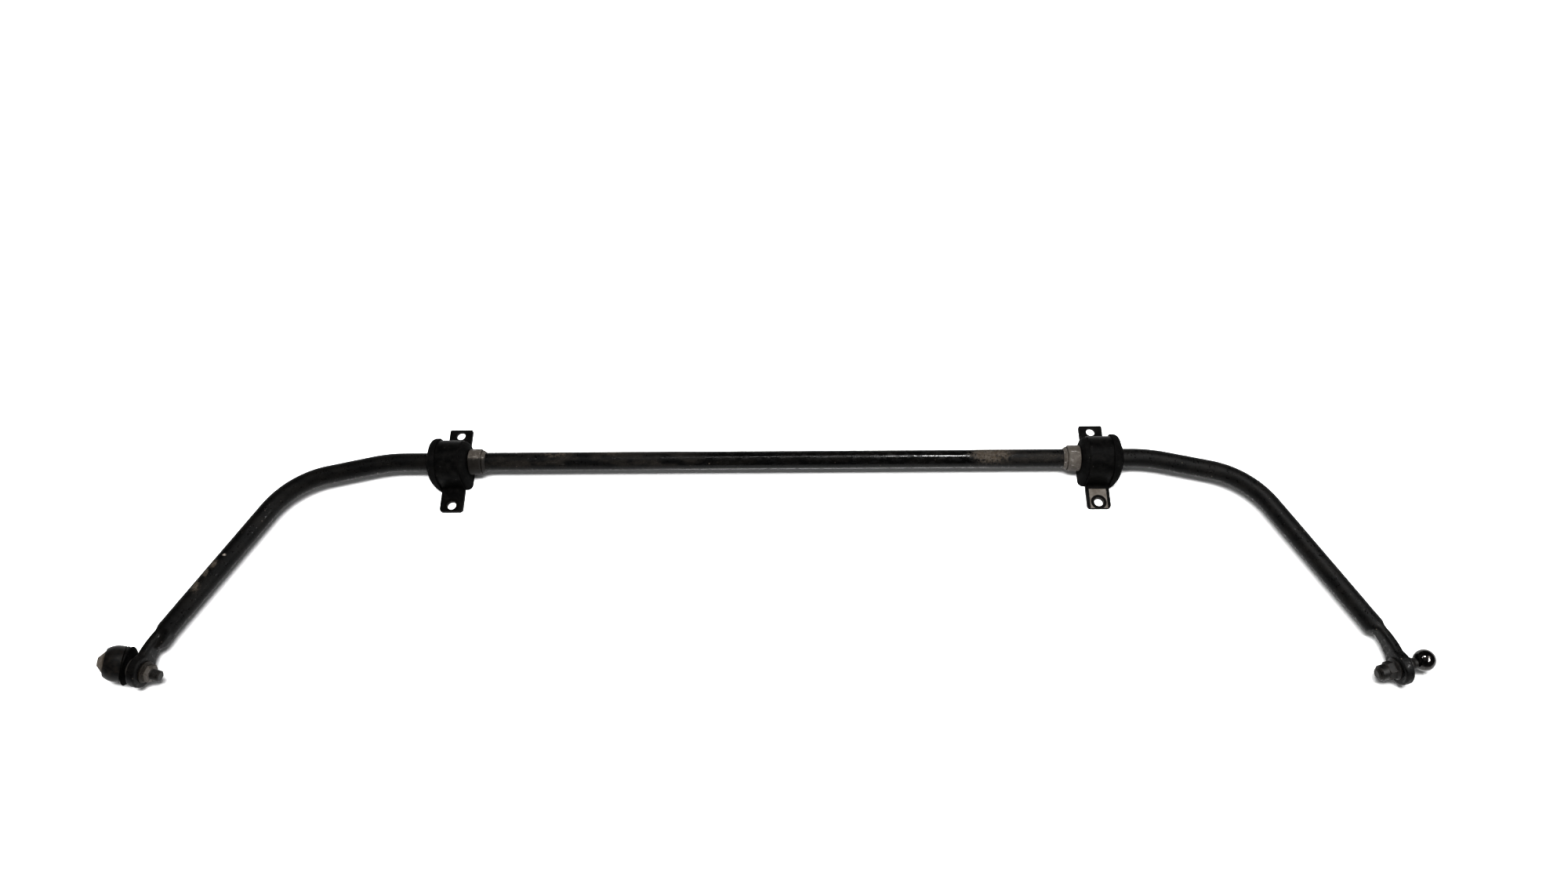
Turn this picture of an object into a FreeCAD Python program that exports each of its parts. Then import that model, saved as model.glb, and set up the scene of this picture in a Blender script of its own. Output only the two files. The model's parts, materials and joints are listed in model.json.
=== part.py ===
import FreeCAD, Part
import Sketcher
import math
import os

from FreeCAD import Placement, Rotation, Vector

# Sway bar (anti-roll bar) with its two chassis clamps and its link ball joints.
#
# Frame: millimetres, +X along the bar towards the end with the bare ball, +Z up from the
# mounting plane, and the two arms reach towards -Y. The origin is the centre of the
# rectangle of four bracket bolt holes, on the plane that the brackets are bolted to.

document = FreeCAD.newDocument("sway_bar")
sheet = document.addObject("Spreadsheet::Sheet", "sizes")

DRIVING_SIZES = {
    # Bar
    "bar_diameter": 18,
    "axis_height": 22,
    "arm_centre_x": -7,
    "first_bend_x": 375,
    "first_bend_angle": 12.8,
    "first_bend_radius": 145,
    "main_bend_x": 469,
    "main_bend_radius": 84,
    "arm_angle": 59.2,
    "arm_length": 193,
    # Flattened and pierced ends of the bar
    "eye_angle": 74,
    "eye_reach": 27.5,
    "eye_radius": 16,
    "eye_thickness": 9,
    "eye_hole_radius": 5.1,
    "eye_edge_round": 1.6,
    "shoulder_setback": 15,
    "shoulder_corner": 8.6,
    "neck_setback": 9.5,
    "neck_thickness": 8,
    "neck_height": 16,
    "neck_offset": 1.4,
    "neck_corner": 3.4,
    "knee_thickness": 8.5,
    "knee_height": 17.9,
    "knee_offset": 0.6,
    "blade_setback": 8.3,
    "blade_thickness": 8.7,
    "blade_height": 25.6,
    "flash_corner": 1.6,
    # Stop collars
    "collar_radius": 12.7,
    "collar_length": 12.5,
    "collar_bevel": 0.8,
    "collar_groove": 0.9,
    "collar_groove_radius": 10,
    "collar_shoulder": 3,
    "collar_shoulder_land": 0.6,
    "collar_shoulder_radius": 11.3,
    "collar_end_radius": 9.5,
    "collar_gap": 0.3,
    "collar_seam_width": 0.9,
    "collar_seam_depth": 0.9,
    "left_collar_seam_angle": -35,
    "right_collar_seam_angle": 215,
    # Clamps
    "bracket_half_spacing": 320,
    "hole_half_spacing": 39,
    "hole_radius": 4.5,
    "strap_width": 23,
    "strap_thickness": 3.5,
    "strap_foot_radius": 3,
    "strap_inner_radius": 18,
    "ear_reach": 45.6,
    "front_ear_corner": 3.5,
    "rear_ear_corner": 1.4,
    "bushing_inboard": 18.2,
    "bushing_outboard": 19.6,
    "bushing_inboard_radius": 20.6,
    "bushing_inboard_round": 5.4,
    "bushing_outboard_radius": 23.4,
    "bushing_outboard_round": 5.6,
    "bushing_slant_height": 22,
    "bushing_slant_depth": 7.6,
    "bushing_lip": 2.6,
    "bushing_lip_root": 0.5,
    "bushing_lip_radius": 12.4,
    "bushing_slit": 0.8,
    "bushing_slit_gap": 5,
    "liner_radius": 10,
    "liner_clearance": 0.05,
    "liner_overhang": 0.5,
    # Ball studs and their nuts
    "stud_azimuth": 16,
    "stud_radius": 5,
    "left_stud_end": 21,
    "right_stud_end": 23.4,
    "thread_pitch": 1.5,
    "thread_depth": 0.7,
    "thread_crest": 0.24,
    "thread_flank": 0.63,
    "thread_lead": 0.9,
    "stud_end_radius": 3.9,
    "stud_flange_radius": 9,
    "stud_flange_end": 7,
    "boot_groove_end": 9,
    "boot_groove_radius": 7.4,
    "neck_start": 12.5,
    "neck_start_radius": 5.2,
    "neck_radius": 4.8,
    "ball_radius": 10,
    "ball_offset": 23.9,
    "nut_across_flats": 15,
    "nut_height": 8.2,
    "nut_flange_radius": 10.2,
    "nut_flange_rim": 1.4,
    "nut_flange_slope": 1.6,
    "nut_chamfer": 1.4,
    "nut_chamfer_inset": 0.3,
    "lock_nut_hex_height": 9.6,
    "lock_nut_height": 16.6,
    "lock_nut_collar_radius": 7.1,
    "lock_nut_collar_bevel": 1.2,
    "lock_nut_slope": 2,
    "lock_nut_lip": 0.7,
    "lock_nut_mouth_radius": 5.3,
    "insert_radius": 6.3,
    "insert_length": 2.6,
    # Ball socket of the left link
    "socket_tilt": 28,
    "socket_tilt_direction": 34,
    "housing_radius": 16.8,
    "housing_front": 8,
    "housing_step": 5,
    "housing_bevel": 0.8,
    "housing_neck_radius": 14,
    "housing_mouth_radius": 10.8,
    "housing_bore_radius": 12.4,
    "housing_back": 10.8,
    "seat_front": 6.5,
    "seat_back": 8.6,
    "seat_clearance": 0.03,
    "seat_lip_reach": 5,
    "seat_lip_flare": 1.4,
    "seat_floor_radius": 7,
    "cap_base_radius": 11.9,
    "cap_base_end": 10,
    "cap_radius": 11.2,
    "cap_end": 17,
    "cap_end_radius": 4.6,
    "cap_end_bevel": 0.5,
    "cap_wall": 1.6,
    "cap_skirt_wall": 2.2,
    "boot_wall": 1.5,
    "boot_clearance": 0.15,
    "boot_waist_reach": 11.2,
    "boot_waist_radius": 17.2,
    "boot_waist_rise": 1.5,
    "boot_waist_turn": 17.4,
    "boot_end_gap": 0.15,
    "boot_hollow_overrun": 0.4,
    "ring_wall": 0.9,
    "large_ring_gap": 0.25,
    "large_ring_margin": 0.5,
    "small_ring_margin": 0.3,
}

# Along the left shoulder: distance before the blade's corner, width, depth and shift inwards.
FLASH_SECTIONS = {
    "start": (16, 14, 12, 1.2),
    "middle": (9, 13.6, 12, 2.1),
    "late": (2, 10, 10, 3.6),
    "end": (-5, 4, 7, 2.2),
}
FLASH_SIZES = ("setback", "width", "depth", "shift")
for section_name, numbers in FLASH_SECTIONS.items():
    for quantity, number in zip(FLASH_SIZES, numbers):
        DRIVING_SIZES[f"flash_{section_name}_{quantity}"] = number

for row, (alias, number) in enumerate(DRIVING_SIZES.items(), start=1):
    sheet.set(f"A{row}", alias)
    sheet.set(f"B{row}", str(number))
    sheet.setAlias(f"B{row}", alias)
document.recompute()


class Size:
    """A length or angle, with the spreadsheet expression that gives it."""

    def __init__(self, number, text):
        self.number = number
        self.text = text

    def __add__(self, other):
        other = as_size(other)
        return Size(self.number + other.number, f"({self.text} + {other.text})")

    def __sub__(self, other):
        other = as_size(other)
        return Size(self.number - other.number, f"({self.text} - {other.text})")

    def __mul__(self, other):
        other = as_size(other)
        return Size(self.number * other.number, f"({self.text} * {other.text})")

    def __truediv__(self, other):
        other = as_size(other)
        return Size(self.number / other.number, f"({self.text} / {other.text})")

    def __neg__(self):
        return Size(-self.number, f"(0 - {self.text})")

    def __radd__(self, other):
        return as_size(other) + self

    def __rsub__(self, other):
        return as_size(other) - self

    def __rmul__(self, other):
        return as_size(other) * self


def as_size(value):
    if isinstance(value, Size):
        return value
    return Size(float(value), repr(float(value)))


def size(alias):
    return Size(float(sheet.get(alias)), f"sizes.{alias}")


def cosine(angle):
    angle = as_size(angle)
    return Size(math.cos(math.radians(angle.number)), f"cos({angle.text} * 1 deg)")


def sine(angle):
    angle = as_size(angle)
    return Size(math.sin(math.radians(angle.number)), f"sin({angle.text} * 1 deg)")


def tangent(angle):
    angle = as_size(angle)
    return Size(math.tan(math.radians(angle.number)), f"tan({angle.text} * 1 deg)")


def root(value):
    value = as_size(value)
    return Size(math.sqrt(value.number), f"sqrt({value.text})")


def new_body(label):
    body = document.addObject("PartDesign::Body", label)
    body.Label = label
    return body


def origin_plane(body, role):
    for feature in body.Origin.OriginFeatures:
        if feature.Role == role:
            return feature
    raise ValueError(role)


def new_sketch(body, name, role, move=(0, 0, 0), turn_axis=(0, 1, 0), turn=0):
    """A sketch on an origin plane, moved and turned in that plane's own frame."""
    sketch = body.newObject("Sketcher::SketchObject", name)
    sketch.AttachmentSupport = [(origin_plane(body, role), "")]
    sketch.MapMode = "FlatFace"
    move = [as_size(value) for value in move]
    turn = as_size(turn)
    sketch.AttachmentOffset = Placement(
        Vector(*[value.number for value in move]),
        Rotation(Vector(*turn_axis), turn.number),
    )
    for axis, value in zip("xyz", move):
        if abs(value.number) > 1e-9:
            sketch.setExpression(f"AttachmentOffset.Base.{axis}", value.text)
    if abs(turn.number) > 1e-9:
        sketch.setExpression("AttachmentOffset.Rotation.Angle", f"{turn.text} * 1 deg")
    return sketch


def pin_point(sketch, curve, end, x, y):
    """Hold one end of a curve at x and y, by expressions of the driving sizes."""
    for kind, axis_curve, value in (("DistanceX", -2, x), ("DistanceY", -1, y)):
        if abs(value.number) < 1e-9:
            sketch.addConstraint(Sketcher.Constraint("PointOnObject", curve, end, axis_curve))
            continue
        index = sketch.addConstraint(
            Sketcher.Constraint(kind, -1, 1, curve, end, value.number)
        )
        sketch.setExpression(f"Constraints[{index}]", value.text)


def arc_between(start, finish, radius):
    """The short arc from start to finish; a positive radius turns to the left."""
    middle = (start + finish) * 0.5
    chord = finish - start
    rise = math.sqrt(max(radius * radius - chord.Length ** 2 / 4, 0))
    left = Vector(-chord.y, chord.x, 0).normalize()
    side = 1 if radius > 0 else -1
    centre = middle + left * (rise * side)
    circle = Part.Circle(centre, Vector(0, 0, 1), abs(radius))
    first, last = (start, finish) if radius > 0 else (finish, start)
    return Part.ArcOfCircle(circle, circle.parameter(first), circle.parameter(last))


def draw_outline(sketch, corners, closed=True):
    """Lines and arcs through the corners. A corner is (x, y), or (x, y, radius) where an
    arc leads from it to the next corner: left-turning if the radius is positive."""
    points = [(as_size(corner[0]), as_size(corner[1])) for corner in corners]
    count = len(corners) if closed else len(corners) - 1
    ends = []
    for index in range(count):
        start = Vector(points[index][0].number, points[index][1].number, 0)
        x, y = points[(index + 1) % len(points)]
        finish = Vector(x.number, y.number, 0)
        if len(corners[index]) == 2:
            curve = sketch.addGeometry(Part.LineSegment(start, finish))
            ends.append((curve, 1, 2))
            continue
        radius = as_size(corners[index][2])
        curve = sketch.addGeometry(arc_between(start, finish, radius.number))
        bound = radius if radius.number > 0 else -radius
        constraint = sketch.addConstraint(Sketcher.Constraint("Radius", curve, bound.number))
        sketch.setExpression(f"Constraints[{constraint}]", bound.text)
        ends.append((curve, 1, 2) if radius.number > 0 else (curve, 2, 1))
    for index, (curve, start_end, finish_end) in enumerate(ends):
        pin_point(sketch, curve, start_end, *points[index])
        if index + 1 < len(ends) or closed:
            following = ends[(index + 1) % len(ends)]
            sketch.addConstraint(
                Sketcher.Constraint("Coincident", curve, finish_end, following[0], following[1])
            )
        else:
            pin_point(sketch, curve, finish_end, *points[index + 1])


def draw_circle(sketch, radius, x=0, y=0):
    radius, x, y = as_size(radius), as_size(x), as_size(y)
    centre = Vector(x.number, y.number, 0)
    curve = sketch.addGeometry(Part.Circle(centre, Vector(0, 0, 1), radius.number))
    constraint = sketch.addConstraint(Sketcher.Constraint("Radius", curve, radius.number))
    sketch.setExpression(f"Constraints[{constraint}]", radius.text)
    pin_point(sketch, curve, 3, x, y)


def pad(body, sketch, length, symmetric=False):
    feature = body.newObject("PartDesign::Pad", f"{sketch.Name}_pad")
    feature.Profile = sketch
    feature.Midplane = symmetric
    feature.setExpression("Length", as_size(length).text)
    return feature


def pocket_through(body, sketch):
    """Cut the sketch's outline through the whole solid, on both sides of its plane."""
    document.recompute()
    before = body.Shape.Volume
    feature = body.newObject("PartDesign::Pocket", f"{sketch.Name}_pocket")
    feature.Profile = sketch
    feature.Midplane = True
    feature.Type = "ThroughAll"
    document.recompute()
    if body.Shape.Volume > before - 1e-3:
        raise RuntimeError(f"{feature.Name} cut nothing")
    return feature


def revolve(body, sketch):
    """A full turn of the sketch about its own horizontal axis."""
    feature = body.newObject("PartDesign::Revolution", f"{sketch.Name}_revolution")
    feature.Profile = sketch
    feature.ReferenceAxis = (sketch, ["H_Axis"])
    feature.Angle = 360
    return feature


def revolve_cut(body, sketch):
    document.recompute()
    before = body.Shape.Volume
    feature = body.newObject("PartDesign::Groove", f"{sketch.Name}_groove")
    feature.Profile = sketch
    feature.ReferenceAxis = (sketch, ["H_Axis"])
    feature.Angle = 360
    document.recompute()
    if body.Shape.Volume > before - 1e-3:
        raise RuntimeError(f"{feature.Name} cut nothing")
    return feature


def round_edges(body, name, radius, chosen):
    """Fillet the edges of the body's current solid that the function chosen accepts."""
    document.recompute()
    base = body.Tip
    edges = []
    for index, edge in enumerate(base.Shape.Edges, start=1):
        if chosen(edge):
            edges.append(f"Edge{index}")
    feature = body.newObject("PartDesign::Fillet", name)
    feature.Base = (base, edges)
    feature.setExpression("Radius", as_size(radius).text)
    document.recompute()
    return feature


def revolved_body(label, corners):
    """A body that is one turned profile: corners are (distance along the axis, radius)."""
    body = new_body(label)
    sketch = new_sketch(body, f"{label}_profile", "XY_Plane")
    draw_outline(sketch, corners)
    revolve(body, sketch)
    return body


# --- Bar -------------------------------------------------------------------------------

def bar_path():
    """Points and tangent arcs of the right half of the bar's centre line, from the middle
    of the bar to the shoulder where the round stock ends."""
    bend = size("first_bend_angle")
    turn = size("arm_angle") - bend
    first_reach = size("first_bend_radius") * tangent(bend / 2)
    main_reach = size("main_bend_radius") * tangent(turn / 2)
    first_x = size("first_bend_x")
    main_x = size("main_bend_x")
    main_y = -((main_x - first_x) * tangent(bend))
    arm_x, arm_y = arm_point(0)
    start_x, start_y = arm_point(size("shoulder_setback"))
    arm = size("arm_angle")
    return [
        (0, 0),
        (first_x - first_reach, 0, -size("first_bend_radius")),
        (first_x + first_reach * cosine(bend), -(first_reach * sine(bend))),
        (main_x - main_reach * cosine(bend), main_y + main_reach * sine(bend),
         -size("main_bend_radius")),
        (main_x + main_reach * cosine(arm), main_y - main_reach * sine(arm)),
        (start_x, start_y),
    ]


def arm_point(setback):
    """A point on the straight arm, setback before the corner where the eye's blade turns."""
    bend = size("first_bend_angle")
    arm = size("arm_angle")
    main_x = size("main_bend_x")
    main_y = -((main_x - size("first_bend_x")) * tangent(bend))
    along = size("arm_length") - setback
    return main_x + along * cosine(arm), main_y - along * sine(arm)


def eye_point(setback=0):
    """A point on the blade's centre line, setback before the centre of the eye."""
    corner_x, corner_y = arm_point(0)
    along = size("eye_reach") - setback
    angle = size("eye_angle")
    return corner_x + along * cosine(angle), corner_y - along * sine(angle)


def bar_section(body, name, place, angle, width, height, corner, offset=0):
    """A rounded rectangle across the bar, turned square to the direction -angle."""
    sketch = new_sketch(body, name, "YZ_Plane", (place[1], 0, place[0]), (0, 1, 0), -angle)
    half_width = as_size(width) / 2
    half_height = as_size(height) / 2
    corner = as_size(corner)
    left = offset - half_width
    right = offset + half_width
    draw_outline(sketch, [
        (right, corner - half_height),
        (right, half_height - corner, corner),
        (right - corner, half_height),
        (left + corner, half_height, corner),
        (left, half_height - corner),
        (left, corner - half_height, corner),
        (left + corner, -half_height),
        (right - corner, -half_height, corner),
    ])
    return sketch


def loft(body, name, sections):
    feature = body.newObject("PartDesign::AdditiveLoft", name)
    feature.Profile = sections[0]
    feature.Sections = sections[1:]
    return feature


def make_bar():
    body = new_body("bar")
    diameter = size("bar_diameter")
    profile = new_sketch(body, "bar_round", "YZ_Plane")
    draw_circle(profile, diameter / 2)
    path = new_sketch(body, "bar_path", "XY_Plane")
    draw_outline(path, bar_path(), closed=False)
    pipe = body.newObject("PartDesign::AdditivePipe", "bar_pipe")
    pipe.Profile = profile
    pipe.Spine = path

    # The round stock is pressed down to a neck, which widens into the blade of the eye.
    arm = size("arm_angle")
    angle = size("eye_angle")
    thickness = size("eye_thickness")
    corner = size("neck_corner")
    height = size("neck_height")
    round_end = bar_section(body, "shoulder_section", arm_point(size("shoulder_setback")),
                            arm, diameter, diameter, size("shoulder_corner"))
    neck = bar_section(body, "neck_section", arm_point(size("neck_setback")), arm,
                       size("neck_thickness"), height, corner, size("neck_offset"))
    shoulder = loft(body, "bar_shoulder", [round_end, neck])
    shoulder.Ruled = True
    neck_start = bar_section(body, "neck_start_section", arm_point(size("neck_setback")), arm,
                             size("neck_thickness"), height, corner, size("neck_offset"))
    knee = bar_section(body, "knee_section", arm_point(0), (arm + angle) / 2,
                       size("knee_thickness"), size("knee_height"), corner, size("knee_offset"))
    blade = bar_section(body, "blade_section", eye_point(size("blade_setback")), angle,
                        size("blade_thickness"), size("blade_height"), corner)
    loft(body, "bar_blade", [neck_start, knee, blade])

    # The eye is a turned disc about the stud's axis, with rounded edges and its hole.
    centre_x, centre_y = eye_point()
    eye = new_sketch(body, "eye_profile", "XY_Plane", (centre_x, centre_y, 0), (0, 0, 1),
                     90 - angle)
    half = thickness / 2
    edge = size("eye_edge_round")
    outer = size("eye_radius")
    bore = size("eye_hole_radius")
    draw_outline(eye, [
        (-half, bore),
        (half, bore),
        (half, outer - edge, edge),
        (half - edge, outer),
        (edge - half, outer, edge),
        (-half, outer - edge),
    ])
    revolve(body, eye)

    mirrored = body.newObject("PartDesign::Mirrored", "left_half")
    mirrored.MirrorPlane = (origin_plane(body, "YZ_Plane"), [""])
    mirrored.TransformMode = "Whole shape"
    body.Tip = mirrored

    # The left end was pressed with more metal left on the inner side of its shoulder.
    flash = []
    for name in FLASH_SECTIONS:
        setback, width, depth, shift = (size(f"flash_{name}_{quantity}")
                                        for quantity in FLASH_SIZES)
        place_x, place_y = arm_point(setback)
        flash.append(bar_section(body, f"flash_{name}_section", (-place_x, place_y), 180 - arm,
                                 width, depth, size("flash_corner"), shift))
    loft(body, "left_flash", flash)
    body.Placement = Placement(
        Vector(size("arm_centre_x").number, 0, size("axis_height").number), Rotation())
    return body


# --- Stop collars ----------------------------------------------------------------------

def make_collar(label, side):
    """A ring pressed on the bar, with a bevelled shoulder on the side away from the bush."""
    bore = size("bar_diameter") / 2
    outer = size("collar_radius")
    bevel = size("collar_bevel")
    length = size("collar_length")
    groove = size("collar_groove")
    shoulder = size("collar_shoulder_radius")
    total = length + groove + size("collar_shoulder")
    groove_floor = size("collar_groove_radius")
    body = revolved_body(label, [
        (0, bore),
        (total, bore),
        (total, size("collar_end_radius")),
        (length + groove + size("collar_shoulder_land"), shoulder),
        (length + groove, shoulder),
        (length + groove, groove_floor),
        (length, groove_floor),
        (length, outer - bevel),
        (length - bevel, outer),
        (bevel, outer),
        (0, outer - bevel),
    ])
    # The ring is rolled from strip: its ends meet in a shallow seam.
    seam = new_sketch(body, f"{label}_seam", "YZ_Plane", (0, 0, 0), (0, 0, 1),
                      size(f"{label}_seam_angle"))
    seam_floor = outer - size("collar_seam_depth")
    half_seam = size("collar_seam_width") / 2
    draw_outline(seam, [
        (seam_floor, -half_seam),
        (outer + 1, -half_seam),
        (outer + 1, half_seam),
        (seam_floor, half_seam),
    ])
    pocket_through(body, seam)
    face = size("bracket_half_spacing") - size("bushing_inboard") - size("collar_gap")
    body.Placement = Placement(
        Vector(face.number * side, 0, size("axis_height").number),
        Rotation(Vector(0, 0, 1), 180 if side > 0 else 0))
    return body


# --- Clamps: rubber bush, its liner and the steel strap ----------------------------------

def d_outline(radius):
    """A D on its flat side: the arch is centred on the bar, the flat is at height 0."""
    height = size("axis_height")
    return [
        (-radius, 0),
        (radius, 0),
        (radius, height, radius),
        (0, height + radius, radius),
        (-radius, height),
    ]


def clamp_placement(side):
    """The clamp's own +X points outboard, away from the middle of the bar."""
    return Placement(
        Vector(size("bracket_half_spacing").number * side, 0, 0),
        Rotation(Vector(0, 0, 1), 0 if side > 0 else 180))


def make_bushing(label, side):
    body = new_body(label)
    inboard = size("bushing_inboard")
    outboard = size("bushing_outboard")
    half_strap = size("strap_width") / 2
    height = size("axis_height")
    core = new_sketch(body, f"{label}_core", "YZ_Plane", (0, 0, -inboard))
    draw_outline(core, d_outline(size("strap_inner_radius")))
    pad(body, core, inboard + outboard)
    for name, start, length, end in (
        ("inboard", -inboard, inboard - half_strap, -inboard),
        ("outboard", half_strap, outboard - half_strap, outboard),
    ):
        flange = new_sketch(body, f"{label}_{name}_flange", "YZ_Plane", (0, 0, start))
        draw_outline(flange, d_outline(size(f"bushing_{name}_radius")))
        pad(body, flange, length)

        def on_flange_rim(edge, end=end):
            box = edge.BoundBox
            return box.XLength < 1e-6 and abs(box.XMin - end.number) < 1e-6 and box.ZMax > 1

        round_edges(body, f"{label}_{name}_rim", size(f"bushing_{name}_round"), on_flange_rim)

    # The outboard end leans inwards towards the mounting plane.
    slant = new_sketch(body, f"{label}_slant", "XZ_Plane")
    draw_outline(slant, [
        (outboard - size("bushing_slant_depth"), -1),
        (outboard + 1, -1),
        (outboard + 1, size("bushing_slant_height") + 1),
        (outboard, size("bushing_slant_height")),
        (outboard - size("bushing_slant_depth"), 0),
    ])
    pocket_through(body, slant)
    lip_root = size("bushing_lip_root")
    lip = new_sketch(body, f"{label}_lip", "YZ_Plane", (0, 0, outboard - lip_root))
    draw_circle(lip, size("bushing_lip_radius"), 0, height)
    pad(body, lip, size("bushing_lip") + lip_root)
    bore = new_sketch(body, f"{label}_bore", "YZ_Plane")
    draw_circle(bore, size("liner_radius"), 0, height)
    pocket_through(body, bore)
    slit = new_sketch(body, f"{label}_slit", "YZ_Plane")
    half_slit = size("bushing_slit") / 2
    slit_top = height - size("bushing_slit_gap")
    draw_outline(slit, [(-half_slit, -1), (half_slit, -1), (half_slit, slit_top),
                        (-half_slit, slit_top)])
    pocket_through(body, slit)
    body.Placement = clamp_placement(side)
    return body


def make_liner(label, side):
    """A thin woven sleeve bonded in the bush: the bar turns in it."""
    inner = size("bar_diameter") / 2 + size("liner_clearance")
    outer = size("liner_radius")
    start = -size("bushing_inboard")
    finish = size("bushing_outboard") + size("bushing_lip") + size("liner_overhang")
    body = revolved_body(label, [(start, inner), (finish, inner), (finish, outer), (start, outer)])
    place = clamp_placement(side)
    place.Base.z = size("axis_height").number
    body.Placement = place
    return body


def make_strap(label, side):
    body = new_body(label)
    inner = size("strap_inner_radius")
    thickness = size("strap_thickness")
    outer = inner + thickness
    height = size("axis_height")
    foot = size("strap_foot_radius")
    foot_outer = foot + thickness
    reach = size("ear_reach")
    width = size("strap_width")
    profile = new_sketch(body, f"{label}_profile", "YZ_Plane")
    draw_outline(profile, [
        (reach, 0),
        (reach, thickness),
        (outer + foot, thickness, -foot),
        (outer, foot_outer),
        (outer, height, outer),
        (0, height + outer, outer),
        (-outer, height),
        (-outer, foot_outer, -foot),
        (-outer - foot, thickness),
        (-reach, thickness),
        (-reach, 0),
        (-inner - foot_outer, 0, foot_outer),
        (-inner, foot_outer),
        (-inner, height, -inner),
        (0, height + inner, -inner),
        (inner, height),
        (inner, foot_outer, foot_outer),
        (inner + foot_outer, 0),
    ])
    pad(body, profile, width, symmetric=True)
    for name, sign in (("front", -1), ("rear", 1)):
        hole = new_sketch(body, f"{label}_{name}_hole", "XY_Plane")
        draw_circle(hole, size("hole_radius"), 0, size("hole_half_spacing") * sign)
        pocket_through(body, hole)

    for name, sign in (("front", -side), ("rear", side)):
        def at_ear_corner(edge, end=reach.number * sign):
            box = edge.BoundBox
            upright = box.XLength < 1e-6 and box.YLength < 1e-6
            return upright and abs(box.YMin - end) < 1e-6

        round_edges(body, f"{label}_{name}_corners", size(f"{name}_ear_corner"), at_ear_corner)
    body.Placement = clamp_placement(side)
    return body


# --- Ball studs and nuts ------------------------------------------------------------------

def stud_placement(side):
    """The stud's own +X runs from the eye's mid-plane out to the ball."""
    centre_x, centre_y = eye_point()
    azimuth = size("stud_azimuth").number
    return Placement(
        Vector(size("arm_centre_x").number + centre_x.number * side, centre_y.number,
               size("axis_height").number),
        Rotation(Vector(0, 0, 1), azimuth if side > 0 else 180 - azimuth))


def make_ball_stud(label, side):
    crest = size("stud_radius")
    valley = crest - size("thread_depth")
    pitch = size("thread_pitch")
    face = size("eye_thickness") / 2
    end = -size("right_stud_end" if side > 0 else "left_stud_end")
    ball = size("ball_radius")
    ball_centre = size("ball_offset")
    neck = size("neck_radius")
    neck_end = ball_centre - root(ball * ball - neck * neck)
    profile = [(end, 0), (end, size("stud_end_radius"))]
    thread_start = end + size("thread_lead")
    thread_count = 9
    for turn in range(thread_count):
        start = thread_start + pitch * turn
        crest_end = start + size("thread_crest")
        profile.append((start, crest))
        profile.append((crest_end, crest))
        profile.append((crest_end + size("thread_flank"), valley))
    profile += [
        (thread_start + pitch * thread_count, crest),
        (face, crest),
        (face, size("stud_flange_radius")),
        (size("stud_flange_end"), size("stud_flange_radius")),
        (size("stud_flange_end"), size("boot_groove_radius")),
        (size("boot_groove_end"), size("boot_groove_radius")),
        (size("neck_start"), size("neck_start_radius")),
        (neck_end, neck, -ball),
        (ball_centre, ball, -ball),
        (ball_centre + ball, 0),
    ]
    body = revolved_body(label, profile)
    body.Placement = stud_placement(side)
    return body


def hex_prism(body, name, across_flats, start, length):
    """Hexagonal pad along the stud's axis, from start towards the threaded end."""
    hexagon = new_sketch(body, name, "YZ_Plane", (0, 0, -start - length))
    corner = as_size(across_flats) / 2 / cosine(30)
    draw_outline(hexagon, [(corner * cosine(angle), corner * sine(angle))
                           for angle in range(0, 360, 60)])
    pad(body, hexagon, length)
    return corner


def make_flange_nut(label, side):
    body = new_body(label)
    face = size("eye_thickness") / 2
    bore = size("stud_radius")
    flats = size("nut_across_flats")
    rim = size("nut_flange_rim")
    height = size("nut_height")
    flange_radius = size("nut_flange_radius")
    slope_end = -face - rim - size("nut_flange_slope")
    flange = new_sketch(body, f"{label}_flange", "XY_Plane")
    draw_outline(flange, [
        (-face, bore),
        (-face, flange_radius),
        (-face - rim, flange_radius),
        (slope_end, flats / 2),
        (slope_end, bore),
    ])
    revolve(body, flange)
    corner = hex_prism(body, f"{label}_hex", flats, face + rim, height - rim)
    chamfer_nut(body, label, face + height, flats, corner)
    drill_nut(body, label, bore)
    body.Placement = stud_placement(side)
    return body


def chamfer_nut(body, label, end, flats, corner):
    """Turn the hexagon's corners off at its free end."""
    cut = new_sketch(body, f"{label}_chamfer", "XY_Plane")
    draw_outline(cut, [
        (-end, flats / 2 - size("nut_chamfer_inset")),
        (-end, corner + 1),
        (size("nut_chamfer") - end, corner + 1),
    ])
    revolve_cut(body, cut)


def drill_nut(body, label, bore):
    drill = new_sketch(body, f"{label}_bore", "YZ_Plane")
    draw_circle(drill, bore)
    pocket_through(body, drill)


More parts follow.
